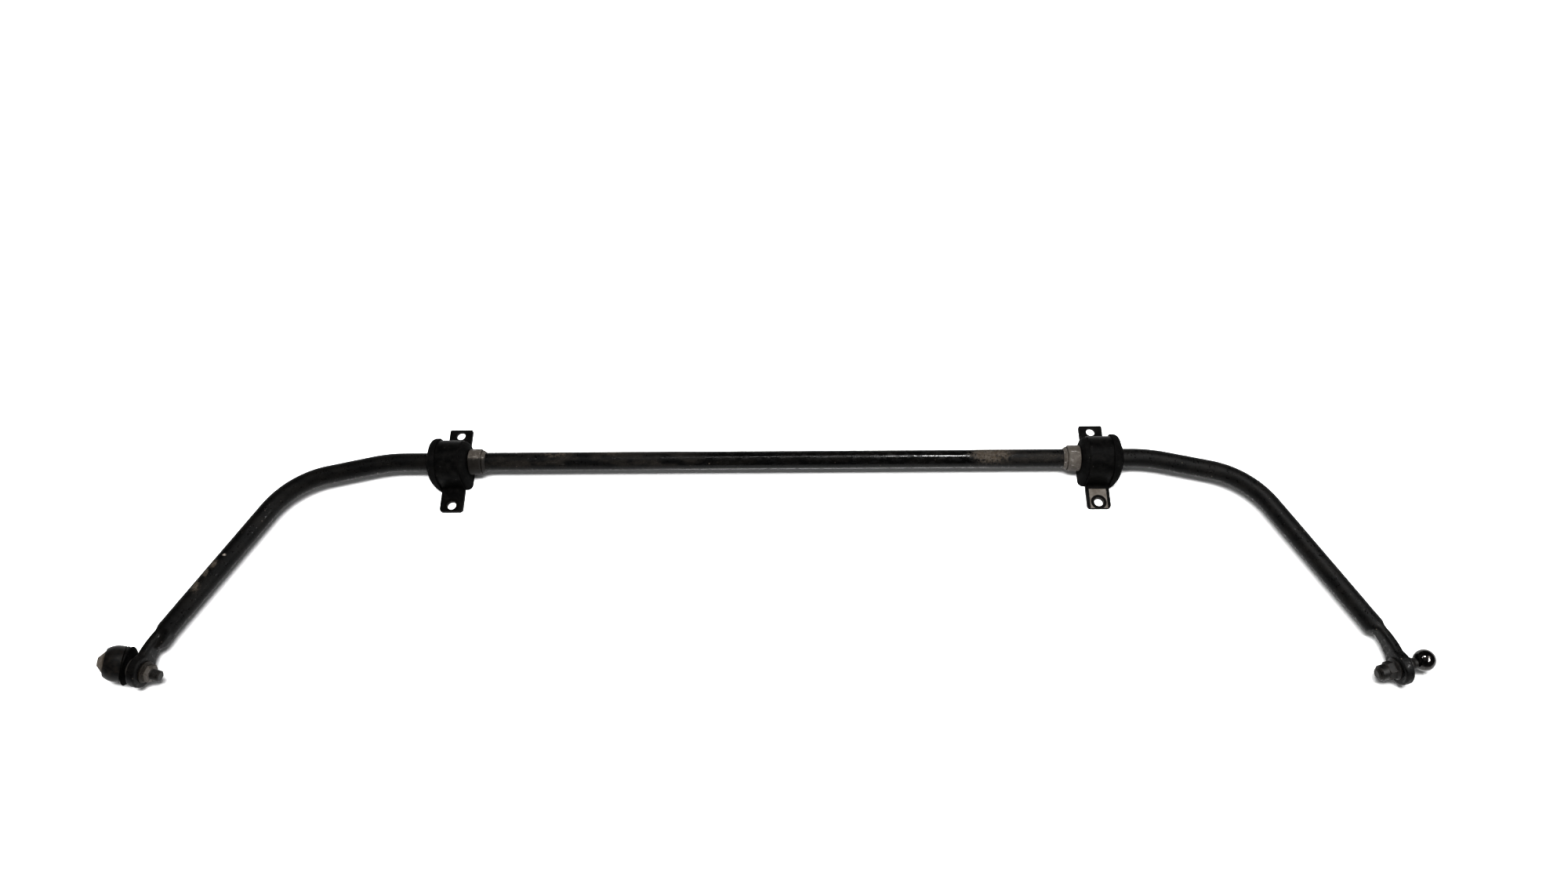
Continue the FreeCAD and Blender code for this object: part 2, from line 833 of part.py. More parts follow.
def make_lock_nut(label, side):
    """A flanged nut with a round collar that is rolled over a nylon ring."""
    body = new_body(label)
    face = size("eye_thickness") / 2
    bore = size("stud_radius")
    flats = size("nut_across_flats")
    rim = size("nut_flange_rim")
    hex_height = size("lock_nut_hex_height")
    height = size("lock_nut_height")
    collar = size("lock_nut_collar_radius")
    insert = size("insert_radius")
    flange_radius = size("nut_flange_radius")
    bevel = size("lock_nut_collar_bevel")
    mouth = size("lock_nut_mouth_radius")
    end = -face - height
    lip = end + size("lock_nut_lip")
    recess = lip + size("insert_length")
    flange = new_sketch(body, f"{label}_flange", "XY_Plane")
    draw_outline(flange, [
        (-face, bore),
        (-face, flange_radius),
        (-face - rim, flange_radius),
        (-face - rim - size("lock_nut_slope"), collar),
        (end + bevel, collar),
        (end, collar - bevel),
        (end, mouth),
        (lip, mouth),
        (lip, insert),
        (recess, insert),
        (recess, bore),
    ])
    revolve(body, flange)
    corner = hex_prism(body, f"{label}_hex", flats, face + rim, hex_height - rim)
    chamfer_nut(body, label, face + hex_height, flats, corner)
    drill_nut(body, label, bore)
    body.Placement = stud_placement(side)
    return body


def make_nut_insert(label, side):
    face = size("eye_thickness") / 2
    finish = -face - size("lock_nut_height") + size("lock_nut_lip")
    start = finish + size("insert_length")
    bore = size("stud_radius")
    outer = size("insert_radius")
    body = revolved_body(label, [(finish, bore), (start, bore), (start, outer), (finish, outer)])
    body.Placement = stud_placement(side)
    return body


# --- Left ball socket -----------------------------------------------------------------------

def ball_centre_placement():
    """The stud's frame, moved out to the centre of the left ball."""
    place = stud_placement(-1)
    return place.multiply(Placement(Vector(size("ball_offset").number, 0, 0), Rotation()))


def tilt_axis():
    """The axis about which the socket has swung, in the ball's own frame."""
    direction = math.radians(size("socket_tilt_direction").number)
    return Vector(0, -math.cos(direction), math.sin(direction))


def socket_placement():
    """The socket's own +X runs from the ball's centre out through the closed end."""
    swing = Placement(Vector(0, 0, 0), Rotation(tilt_axis(), size("socket_tilt").number))
    return ball_centre_placement().multiply(swing)


def make_housing(label):
    """A forged cup whose back is part of a sphere about the ball's centre."""
    outer = size("housing_radius")
    front = -size("housing_front")
    step = -size("housing_step")
    neck = size("housing_neck_radius")
    bore = size("housing_bore_radius")
    mouth = size("housing_mouth_radius")
    back = size("housing_back")
    cap_end = size("cap_base_end")
    cap_base = size("cap_base_radius")
    bevel = size("housing_bevel")
    body = revolved_body(label, [
        (front, mouth),
        (-size("seat_front"), mouth),
        (-size("seat_front"), bore),
        (size("seat_back"), bore),
        (size("seat_back"), cap_base),
        (cap_end, cap_base),
        (cap_end, size("cap_radius")),
        (back, size("cap_radius")),
        (back, root(outer * outer - back * back), outer),
        (0, outer),
        (step + bevel, outer),
        (step, outer - bevel),
        (step, neck),
        (front, neck),
    ])
    body.Placement = socket_placement()
    return body


def make_ball_seat(label):
    front = size("seat_front")
    back = size("seat_back")
    outer = size("housing_bore_radius")
    hollow = size("ball_radius") + size("seat_clearance")
    edge = size("seat_lip_reach")
    edge_radius = root(hollow * hollow - edge * edge)
    floor_radius = size("seat_floor_radius")
    floor_x = root(hollow * hollow - floor_radius * floor_radius)
    body = revolved_body(label, [
        (-front, edge_radius + size("seat_lip_flare")),
        (-edge, edge_radius, -hollow),
        (0, hollow, -hollow),
        (floor_x, floor_radius),
        (back, floor_radius),
        (back, outer),
        (-front, outer),
    ])
    body.Placement = socket_placement()
    return body


def make_socket_cap(label):
    start = size("seat_back")
    base_end = size("cap_base_end")
    end = size("cap_end")
    wall = size("cap_wall")
    inner = size("cap_radius") - size("cap_skirt_wall")
    end_radius = size("cap_end_radius")
    bevel = size("cap_end_bevel")
    body = revolved_body(label, [
        (start, inner),
        (start, size("cap_base_radius")),
        (base_end, size("cap_base_radius")),
        (base_end, size("cap_radius")),
        (size("housing_back"), size("cap_radius")),
        (end - bevel, end_radius),
        (end, end_radius - bevel),
        (end, 0),
        (end - wall, 0),
        (end - wall, end_radius - bevel),
        (base_end, inner),
    ])
    body.Placement = socket_placement()
    return body


def make_large_ring(label):
    """A flat band that holds the boot's wide bead on the housing's neck."""
    inner = size("housing_neck_radius") + size("boot_wall") + size("large_ring_gap")
    outer = inner + size("ring_wall")
    front = -size("housing_front") + size("large_ring_margin")
    finish = -size("housing_step") - size("large_ring_margin")
    body = revolved_body(label, [(front, inner), (finish, inner), (finish, outer), (front, outer)])
    body.Placement = socket_placement()
    return body


def make_small_ring(label):
    """A flat band that holds the boot's narrow bead in the stud's groove."""
    inner = size("boot_groove_radius") + size("boot_wall")
    outer = inner + size("ring_wall")
    start = size("stud_flange_end") - size("ball_offset") + size("small_ring_margin")
    finish = size("boot_groove_end") - size("ball_offset") - size("small_ring_margin")
    body = revolved_body(label, [(start, inner), (finish, inner), (finish, outer), (start, outer)])
    body.Placement = ball_centre_placement()
    return body


def boot_circle(body, name, reach, turn, radius, rise=0):
    """A circle around the boot, reach behind the ball's centre, turned by turn degrees
    from the stud's axis towards the socket's axis. It is drawn in the stud's frame, and
    rise moves it towards the side that the swing presses together."""
    direction = math.radians(size("socket_tilt_direction").number)
    across, along = math.sin(direction), math.cos(direction)
    angle = as_size(turn)
    side = reach * sine(angle)
    sketch = new_sketch(
        body, name, "YZ_Plane",
        (-(side * across), -(side * along), -(reach * cosine(angle))),
        (-along, across, 0), angle)
    rise = as_size(rise)
    draw_circle(sketch, radius, rise * across, rise * along)
    return sketch


def make_boot(label):
    """The rubber boot, bent between the socket's neck and the stud's groove."""
    body = new_body(label)
    wall = size("boot_wall")
    gap = size("boot_end_gap")
    groove = size("boot_groove_radius")
    wide = size("housing_neck_radius") + wall + gap
    waist = size("boot_waist_radius")
    narrow_inside = groove + size("boot_clearance")
    # The hollow runs a little past both ends of the outside, so that it opens them.
    past = size("boot_hollow_overrun")
    stations = (
        ("wide", size("housing_front") + gap, -past, size("socket_tilt"), wide, 0),
        ("waist", size("boot_waist_reach"), 0, size("boot_waist_turn"), waist,
         size("boot_waist_rise")),
        ("narrow", size("ball_offset") - size("boot_groove_end") + gap, past, 0,
         narrow_inside + wall, 0),
    )
    outside = []
    inside = []
    for name, reach, overrun, turn, radius, rise in stations:
        outside.append(boot_circle(body, f"{label}_{name}", reach, turn, radius, rise))
        inside.append(boot_circle(body, f"{label}_{name}_inside", reach + overrun, turn,
                                  radius - wall, rise))
    loft(body, f"{label}_outside", outside).Ruled = True
    hollow = body.newObject("PartDesign::SubtractiveLoft", f"{label}_inside")
    hollow.Profile = inside[0]
    hollow.Sections = inside[1:]
    hollow.Ruled = True
    body.Placement = ball_centre_placement()
    return body


PARTS = [make_bar()]
for side_name, side_sign in (("left", -1), ("right", 1)):
    PARTS.append(make_collar(f"{side_name}_collar", side_sign))
    PARTS.append(make_bushing(f"{side_name}_bushing", side_sign))
    PARTS.append(make_liner(f"{side_name}_bushing_liner", side_sign))
    PARTS.append(make_strap(f"{side_name}_bracket", side_sign))
    PARTS.append(make_ball_stud(f"{side_name}_ball_stud", side_sign))
PARTS.append(make_flange_nut("left_stud_nut", -1))
PARTS.append(make_lock_nut("right_stud_nut", 1))
PARTS.append(make_nut_insert("right_nut_insert", 1))
PARTS.append(make_housing("left_socket_housing"))
PARTS.append(make_ball_seat("left_ball_seat"))
PARTS.append(make_socket_cap("left_socket_cap"))
PARTS.append(make_large_ring("left_boot_large_ring"))
PARTS.append(make_small_ring("left_boot_small_ring"))
PARTS.append(make_boot("left_boot"))
document.recompute()

for item in document.Objects:
    if "Invalid" in item.State or "Error" in item.State:
        raise RuntimeError(f"{item.Name} failed: {item.State}")
for part in PARTS:
    if part.Shape.isNull() or not part.Shape.isValid() or part.Shape.Volume <= 0:
        raise RuntimeError(f"{part.Label} has no valid solid")

os.makedirs("parts", exist_ok=True)
for part in PARTS:
    part.Shape.exportStep(f"parts/{part.Label}.step")
    box = part.Shape.BoundBox
    print(f"{part.Label}: {part.Shape.Volume:.0f} mm3, {len(part.Shape.Solids)} solid(s), "
          f"x {box.XMin:.1f}..{box.XMax:.1f}, y {box.YMin:.1f}..{box.YMax:.1f}, "
          f"z {box.ZMin:.2f}..{box.ZMax:.2f}")
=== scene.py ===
import json
import math

import bmesh
import bpy
from mathutils import Matrix, Vector, noise


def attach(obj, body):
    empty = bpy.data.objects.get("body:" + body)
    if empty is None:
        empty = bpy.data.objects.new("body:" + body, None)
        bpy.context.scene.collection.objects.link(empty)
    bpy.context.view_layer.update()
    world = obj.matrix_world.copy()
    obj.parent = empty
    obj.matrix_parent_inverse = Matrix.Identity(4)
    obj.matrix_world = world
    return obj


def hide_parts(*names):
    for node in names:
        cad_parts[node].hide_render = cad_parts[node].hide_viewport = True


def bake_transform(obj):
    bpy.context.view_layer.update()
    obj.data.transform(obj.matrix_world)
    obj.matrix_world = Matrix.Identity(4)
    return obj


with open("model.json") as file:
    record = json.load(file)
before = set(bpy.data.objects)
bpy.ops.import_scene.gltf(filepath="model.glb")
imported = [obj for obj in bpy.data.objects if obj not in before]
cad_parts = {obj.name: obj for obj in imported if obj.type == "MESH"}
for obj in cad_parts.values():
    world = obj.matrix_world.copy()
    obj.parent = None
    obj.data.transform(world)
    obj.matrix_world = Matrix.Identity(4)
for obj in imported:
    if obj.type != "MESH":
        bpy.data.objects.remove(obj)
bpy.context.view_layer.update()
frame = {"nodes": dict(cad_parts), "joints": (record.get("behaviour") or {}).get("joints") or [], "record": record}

NODES = frame["nodes"]
RECORD = frame["record"]
JOINTS = {joint["name"]: joint for joint in frame["joints"]}
MOUNTS = {mount["name"]: mount for mount in RECORD["mounts"]}
MM = 0.001

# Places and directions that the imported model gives, in metres.
AXIS_HEIGHT = JOINTS["left_bracket_turn"]["pos_m"][2]
BRACKET_X = JOINTS["right_bracket_turn"]["pos_m"][0]
LEFT_BALL = Vector(JOINTS["left_ball_tilt"]["pos_m"])
LEFT_STUD = Vector(JOINTS["left_ball_turn"]["axis"]).normalized()
TILT_AXIS = Vector(JOINTS["left_ball_tilt"]["axis"]).normalized()
SOCKET_TILT = math.radians(JOINTS["left_ball_tilt"]["range_deg"][0]) / -2
SOCKET = Matrix.Rotation(SOCKET_TILT, 3, TILT_AXIS) @ LEFT_STUD
RIGHT_BALL = Vector(MOUNTS["right_link_ball"]["pos_m"])
RIGHT_STUD = Vector(MOUNTS["right_link_ball"]["axis"]).normalized()
BAR_RADIUS = 9 * MM
FRONT_HOLE_Y = -39 * MM
STRAP_THICKNESS = 3.5 * MM
BUSH_LIP_MIDDLE = 22 * MM


# --- Camera, floor and light ----------------------------------------------------------------

CAMERA_AIM = Vector((0.0106, 0.0245, AXIS_HEIGHT))
CAMERA_DISTANCE = 1.2918
CAMERA_ELEVATION = 62.19
CAMERA_TURN = -2.74
CAMERA_ROLL = -2.8
CAMERA_LENS = 29.7

FLOOR_HALF = 8
FLOOR_DROP = 0.2 * MM
PAPER_WHITE = (0.92, 0.92, 0.92, 1)
WORLD_STRENGTH = 0.09

# Each lamp's name, place, target, width, height, watts, and whether it is the gloss that answers.
LAMPS = (
    ("overhead", (0, -0.36, 2.2), (0, -0.05, 0), 1.3, 0.6, 86, False),
    ("front", (-0.3, -1.6, 1.5), (0, -0.1, 0), 1.4, 0.8, 4, False),
    ("streak", (0.31, 0.27, 1.3), (0.14, 0, 0), 0.24, 0.045, 11, True),
    ("streak_left", (-0.25, 0.27, 1.3), (-0.1, 0, 0), 0.86, 0.03, 4, True),
    ("ball_strip", (1.10, -0.28, 1.10), (0.59, -0.2, 0), 0.90, 0.20, 14, True),
    ("ball_strip_low", (1.10, -0.66, 1.02), (0.59, -0.2, 0), 0.60, 0.10, 5, True),
    ("sheen", (-0.2, -0.3, 2.4), (0, -0.1, 0), 1.6, 1.6, 2, True),
)


def make_camera():
    """A camera that looks down at CAMERA_AIM, turned and rolled by small angles."""
    elevation, turn, roll = (math.radians(angle) for angle in
                             (CAMERA_ELEVATION, CAMERA_TURN, CAMERA_ROLL))
    forward = Vector((math.sin(turn) * math.cos(elevation), math.cos(turn) * math.cos(elevation),
                      -math.sin(elevation)))
    level = Vector((math.cos(turn), -math.sin(turn), 0))
    upright = level.cross(forward)
    right = level * math.cos(roll) + upright * math.sin(roll)
    up = upright * math.cos(roll) - level * math.sin(roll)
    data = bpy.data.cameras.new("camera")
    data.lens = CAMERA_LENS
    data.sensor_width = 36
    data.clip_start = 0.01
    camera = bpy.data.objects.new("camera", data)
    bpy.context.scene.collection.objects.link(camera)
    rotation = Matrix((right, up, -forward)).transposed().to_4x4()
    camera.matrix_world = Matrix.Translation(CAMERA_AIM - forward * CAMERA_DISTANCE) @ rotation
    bpy.context.scene.camera = camera


def area_light(name, place, target, width, height, power, gloss):
    """A flat lamp that either only gloss answers, or only matt surfaces do."""
    data = bpy.data.lights.new(name, "AREA")
    data.shape = "RECTANGLE"
    data.size = width
    data.size_y = height
    data.energy = power
    light = bpy.data.objects.new(name, data)
    bpy.context.scene.collection.objects.link(light)
    light.location = place
    light.rotation_euler = (Vector(target) - Vector(place)).to_track_quat("-Z", "Y").to_euler()
    light.visible_glossy = gloss
    light.visible_diffuse = not gloss


def make_studio():
    """The pale floor, the even light of the world and the lamps."""
    mesh = bpy.data.meshes.new("floor")
    corners = ((-1, -1), (1, -1), (1, 1), (-1, 1))
    mesh.from_pydata([(FLOOR_HALF * x, FLOOR_HALF * y, 0) for x, y in corners], [],
                     [(0, 1, 2, 3)])
    floor = bpy.data.objects.new("floor", mesh)
    bpy.context.scene.collection.objects.link(floor)
    floor.location.z = -FLOOR_DROP
    paper = bpy.data.materials.new("floor_paper")
    paper.use_nodes = True
    shader = paper.node_tree.nodes["Principled BSDF"]
    shader.inputs["Base Color"].default_value = PAPER_WHITE
    shader.inputs["Roughness"].default_value = 0.9
    shader.inputs["Specular IOR Level"].default_value = 0
    mesh.materials.append(paper)

    world = bpy.data.worlds.new("studio")
    world.use_nodes = True
    world.node_tree.nodes["Background"].inputs["Color"].default_value = (1, 1, 1, 1)
    world.node_tree.nodes["Background"].inputs["Strength"].default_value = WORLD_STRENGTH
    bpy.context.scene.world = world
    bpy.context.scene.view_settings.view_transform = "Standard"
    bpy.context.scene.view_settings.look = "High Contrast"

    for lamp in LAMPS:
        area_light(*lamp)


# --- Materials --------------------------------------------------------------------------------

def grey(value, warmth=0.0):
    """A linear colour: a grey that a little warmth turns towards brown."""
    return (value * (1 + warmth), value, value * (1 - warmth), 1)


class Finish:
    """A material built from patterns that are fixed to the object's own space."""

    def __init__(self, name, metallic=0.0, specular=0.5, coat=0.0, coat_roughness=0.2):
        self.material = bpy.data.materials.new(name)
        self.material.use_nodes = True
        self.tree = self.material.node_tree
        self.shader = self.tree.nodes["Principled BSDF"]
        self.shader.inputs["Metallic"].default_value = metallic
        self.shader.inputs["Specular IOR Level"].default_value = specular
        self.shader.inputs["Coat Weight"].default_value = coat
        self.shader.inputs["Coat Roughness"].default_value = coat_roughness
        coordinates = self.tree.nodes.new("ShaderNodeTexCoord")
        self.place = coordinates.outputs["Object"]
        self.facing = coordinates.outputs["Normal"]

    def plug(self, socket, value):
        if isinstance(value, bpy.types.NodeSocket):
            self.tree.links.new(value, socket)
        else:
            socket.default_value = value

    def maths(self, operation, *values, clamp=False):
        node = self.tree.nodes.new("ShaderNodeMath")
        node.operation = operation
        node.use_clamp = clamp
        for socket, value in zip(node.inputs, values):
            self.plug(socket, value)
        return node.outputs[0]

    def part(self, vector, axis):
        node = self.tree.nodes.new("ShaderNodeSeparateXYZ")
        self.plug(node.inputs[0], vector)
        return node.outputs["XYZ".index(axis)]

    def noise(self, size, detail=4.0, roughness=0.55, stretch=(1, 1, 1), shift=0.0):
        """Cloudy noise from 0 to 1 whose features are about size metres across."""
        mapping = self.tree.nodes.new("ShaderNodeMapping")
        self.plug(mapping.inputs["Vector"], self.place)
        mapping.inputs["Location"].default_value = (shift, shift * 0.7, -shift)
        mapping.inputs["Scale"].default_value = [1 / (size * value) for value in stretch]
        node = self.tree.nodes.new("ShaderNodeTexNoise")
        self.plug(node.inputs["Vector"], mapping.outputs[0])
        node.inputs["Scale"].default_value = 1
        node.inputs["Detail"].default_value = detail
        node.inputs["Roughness"].default_value = roughness
        return node.outputs["Fac"]

    def cells(self, size, shift=0.0):
        """Distance to the nearest of scattered points about size metres apart."""
        mapping = self.tree.nodes.new("ShaderNodeMapping")
        self.plug(mapping.inputs["Vector"], self.place)
        mapping.inputs["Location"].default_value = (shift, -shift, shift)
        mapping.inputs["Scale"].default_value = [1 / size] * 3
        node = self.tree.nodes.new("ShaderNodeTexVoronoi")
        self.plug(node.inputs["Vector"], mapping.outputs[0])
        node.inputs["Scale"].default_value = 1
        return node.outputs["Distance"]

    def step(self, value, low, high):
        """0 below low, 1 above high and smooth between; low may be the larger one."""
        node = self.tree.nodes.new("ShaderNodeMapRange")
        node.interpolation_type = "SMOOTHSTEP"
        self.plug(node.inputs["Value"], value)
        for name, number in (("From Min", min(low, high)), ("From Max", max(low, high)),
                             ("To Min", float(low > high)), ("To Max", float(low < high))):
            node.inputs[name].default_value = number
        return node.outputs[0]

    def near(self, centre, inner, outer, squeeze=(1, 1, 1)):
        """1 within inner metres of a centre, 0 beyond outer; squeeze above 1 flattens it."""
        mapping = self.tree.nodes.new("ShaderNodeVectorMath")
        mapping.operation = "SUBTRACT"
        self.plug(mapping.inputs[0], self.place)
        mapping.inputs[1].default_value = centre
        scaled = self.tree.nodes.new("ShaderNodeVectorMath")
        scaled.operation = "MULTIPLY"
        self.plug(scaled.inputs[0], mapping.outputs[0])
        scaled.inputs[1].default_value = squeeze
        length = self.tree.nodes.new("ShaderNodeVectorMath")
        length.operation = "LENGTH"
        self.plug(length.inputs[0], scaled.outputs[0])
        return self.step(length.outputs["Value"], outer, inner)

    def along(self, centre, direction):
        """Distance from a centre, measured along a direction."""
        offset = self.tree.nodes.new("ShaderNodeVectorMath")
        offset.operation = "SUBTRACT"
        self.plug(offset.inputs[0], self.place)
        offset.inputs[1].default_value = centre
        dot = self.tree.nodes.new("ShaderNodeVectorMath")
        dot.operation = "DOT_PRODUCT"
        self.plug(dot.inputs[0], offset.outputs[0])
        dot.inputs[1].default_value = direction
        return dot.outputs["Value"]

    def mix(self, amount, first, second):
        """Between two colours, or between two numbers."""
        node = self.tree.nodes.new("ShaderNodeMix")
        number = not any(isinstance(value, tuple) or getattr(value, "type", "") == "RGBA"
                         for value in (first, second))
        node.data_type = "FLOAT" if number else "RGBA"
        self.plug(node.inputs["Factor"], amount)
        kind = node.data_type
        sockets = [socket for socket in node.inputs if socket.name in "AB" and socket.type in
                   ({"FLOAT": "VALUE", "RGBA": "RGBA"}[kind],)]
        self.plug(sockets[0], first)
        self.plug(sockets[1], second)
        return next(socket for socket in node.outputs
                    if socket.type == {"FLOAT": "VALUE", "RGBA": "RGBA"}[kind])

    def edges(self, radius):
        """The normal with its edges rounded by radius, and 0 to 1 for how near an edge is."""
        bevel = self.tree.nodes.new("ShaderNodeBevel")
        bevel.samples = 4
        bevel.inputs["Radius"].default_value = radius
        geometry = self.tree.nodes.new("ShaderNodeNewGeometry")
        dot = self.tree.nodes.new("ShaderNodeVectorMath")
        dot.operation = "DOT_PRODUCT"
        self.plug(dot.inputs[0], bevel.outputs[0])
        self.plug(dot.inputs[1], geometry.outputs["Normal"])
        return bevel.outputs[0], self.step(dot.outputs["Value"], 0.995, 0.86)

    def bump(self, height, depth, normal=None):
        """A bump of depth metres where height goes from 0 to 1."""
        node = self.tree.nodes.new("ShaderNodeBump")
        node.inputs["Strength"].default_value = 1
        node.inputs["Distance"].default_value = depth
        self.plug(node.inputs["Height"], height)
        if normal is not None:
            self.plug(node.inputs["Normal"], normal)
        return node.outputs[0]

    def set(self, colour=None, roughness=None, normal=None, metallic=None):
        for name, value in (("Base Color", colour), ("Roughness", roughness),
                            ("Normal", normal), ("Metallic", metallic)):
            if value is not None:
                self.plug(self.shader.inputs[name], value)
        return self.material


BLACK = grey(0.0028)
DUST = grey(0.062, 0.14)
RUST = (0.026, 0.012, 0.007, 1)


# Where the bar's paint is gone: x and y, the radii where a patch is whole and where it ends,
# how it is squeezed along each axis, and the noise level below which it is broken up.
BARE_PATCHES = (
    (0.214, 0.002, 10 * MM, 30 * MM, (0.95, 2.0, 1.0), 0.41),
    (-0.213, 0.005, 6 * MM, 26 * MM, (0.8, 2.6, 1.2), 0.50),
    (-0.158, 0.005, 3 * MM, 18 * MM, (0.8, 2.6, 1.2), 0.52),
    (-0.5325, -0.1112, 1 * MM, 8 * MM, (1.2, 0.9, 0.6), 0.39),
    (-0.5385, -0.1200, 1 * MM, 7 * MM, (1.2, 0.9, 0.6), 0.41),
    (-0.5452, -0.1338, 1 * MM, 9 * MM, (1.2, 0.8, 0.6), 0.39),
    (0.285, 0.0, 5 * MM, 24 * MM, (0.9, 2.2, 1.2), 0.58),
)
# The x and y of the one chip that shows bare metal, on the left arm.
CHIP = (-0.5240, -0.1022)


def bar_paint():
    """Old black paint: glossy in the middle, dusty towards the ends, with bare patches."""
    finish = Finish("bar_paint", specular=0.16)
    x = finish.part(finish.place, "X")
    up = finish.part(finish.facing, "Z")
    worn_left = finish.step(x, -0.02, -0.17)
    worn_right = finish.step(x, 0.185, 0.235)
    worn = finish.maths("MAXIMUM", worn_left, worn_right)
    cloud = finish.noise(11 * MM, 6, 0.62, (2.2, 1, 1))
    grain = finish.noise(0.9 * MM, 5, 0.7)
    fine = finish.noise(0.28 * MM, 3, 0.6, shift=3)
    blot = finish.noise(2.6 * MM, 6, 0.72, shift=6)
    top = finish.step(up, 0.15, 0.8)
    dusty_left = finish.maths("MULTIPLY", finish.step(x, -0.04, -0.12),
                              finish.step(x, -0.33, -0.24))
    dusty_right = finish.maths("MULTIPLY", worn_right, finish.step(x, 0.31, 0.285))
    dusty = finish.mix(finish.maths("MAXIMUM", dusty_left, dusty_right), 0.2, 1.0)

    # Dust lies thinly where the gloss has gone, in clouds broken by grain.
    haze = finish.maths("MULTIPLY", finish.step(cloud, 0.42, 0.66),
                        finish.maths("MULTIPLY", dusty, finish.mix(top, 0.2, 1.0)))
    speckle = finish.maths("MULTIPLY", haze, finish.step(grain, 0.40, 0.68))

    # Bare patches, where primer and dirt show through.
    patches = None
    for x_place, y_place, inner, outer, squeeze, low in BARE_PATCHES:
        centre = (x_place, y_place, AXIS_HEIGHT + BAR_RADIUS)
        area = finish.near(centre, inner, outer, squeeze)
        broken = finish.step(finish.maths("ADD", blot, finish.maths("MULTIPLY", area, 0.22)),
                             low + 0.16, low + 0.30)
        patch = finish.maths("MULTIPLY", area, broken)
        patches = patch if patches is None else finish.maths("MAXIMUM", patches, patch)
    chip = finish.near((*CHIP, AXIS_HEIGHT + 0.8 * BAR_RADIUS), 0.8 * MM, 2.9 * MM, (1, 1.4, 0.7))
    chip = finish.maths("MULTIPLY", chip, finish.step(blot, 0.42, 0.52))

    # Small knocks and scratches along the whole bar.
    knocks = finish.maths("MULTIPLY", finish.step(finish.cells(7 * MM, 4), 0.13, 0.05),
                          finish.step(finish.noise(16 * MM, 2, shift=9), 0.50, 0.62))
    scratch = finish.step(finish.noise(1.1 * MM, 2, 0.5, (14, 1, 1), 6), 0.70, 0.78)
    scratch = finish.maths("MULTIPLY", scratch, finish.maths("MULTIPLY", worn, 0.6))

    colour = finish.mix(finish.step(cloud, 0.35, 0.7), BLACK, grey(0.0045, 0.05))
    colour = finish.mix(finish.maths("MULTIPLY", haze, 0.6), colour, grey(0.011, 0.20))
    colour = finish.mix(finish.maths("MULTIPLY", speckle, 0.35), colour, grey(0.05, 0.12))
    rust = finish.mix(finish.step(finish.noise(3 * MM, 4, shift=2), 0.35, 0.65), DUST,
                      grey(0.040, 0.22))
    rust = finish.mix(finish.step(grain, 0.52, 0.64), rust, grey(0.014, 0.3))
    colour = finish.mix(patches, colour, rust)
    colour = finish.mix(finish.maths("MULTIPLY", knocks, 0.8), colour, grey(0.09, 0.16))
    colour = finish.mix(scratch, colour, grey(0.05, 0.05))
    colour = finish.mix(chip, colour, grey(0.20, 0.10))

    breaks = finish.step(finish.noise(7 * MM, 4, 0.65, (1.0, 0.5, 0.5), 8), 0.50, 0.60)
    gloss = finish.mix(breaks, 0.09, 0.42)
    islands = finish.step(finish.noise(3.2 * MM, 4, 0.65, (0.7, 1, 1), 11), 0.56, 0.63)
    roughness = finish.mix(worn, gloss, finish.mix(islands, 0.50, 0.14))
    roughness = finish.mix(finish.maths("MULTIPLY", haze, 0.7), roughness, 0.72)
    roughness = finish.mix(patches, roughness, 0.9)
    roughness = finish.maths("ADD", roughness, finish.maths("MULTIPLY", fine, 0.06))

    skin = finish.bump(finish.noise(2.6 * MM, 3, 0.5, (2.5, 1, 1)), 0.045 * MM)
    skin = finish.bump(fine, 0.012 * MM, skin)
    skin = finish.bump(finish.maths("MULTIPLY", patches, grain), 0.16 * MM, skin)
    skin = finish.bump(finish.maths("SUBTRACT", 1.0, knocks), 0.07 * MM, skin)
    return finish.set(colour, roughness, skin)


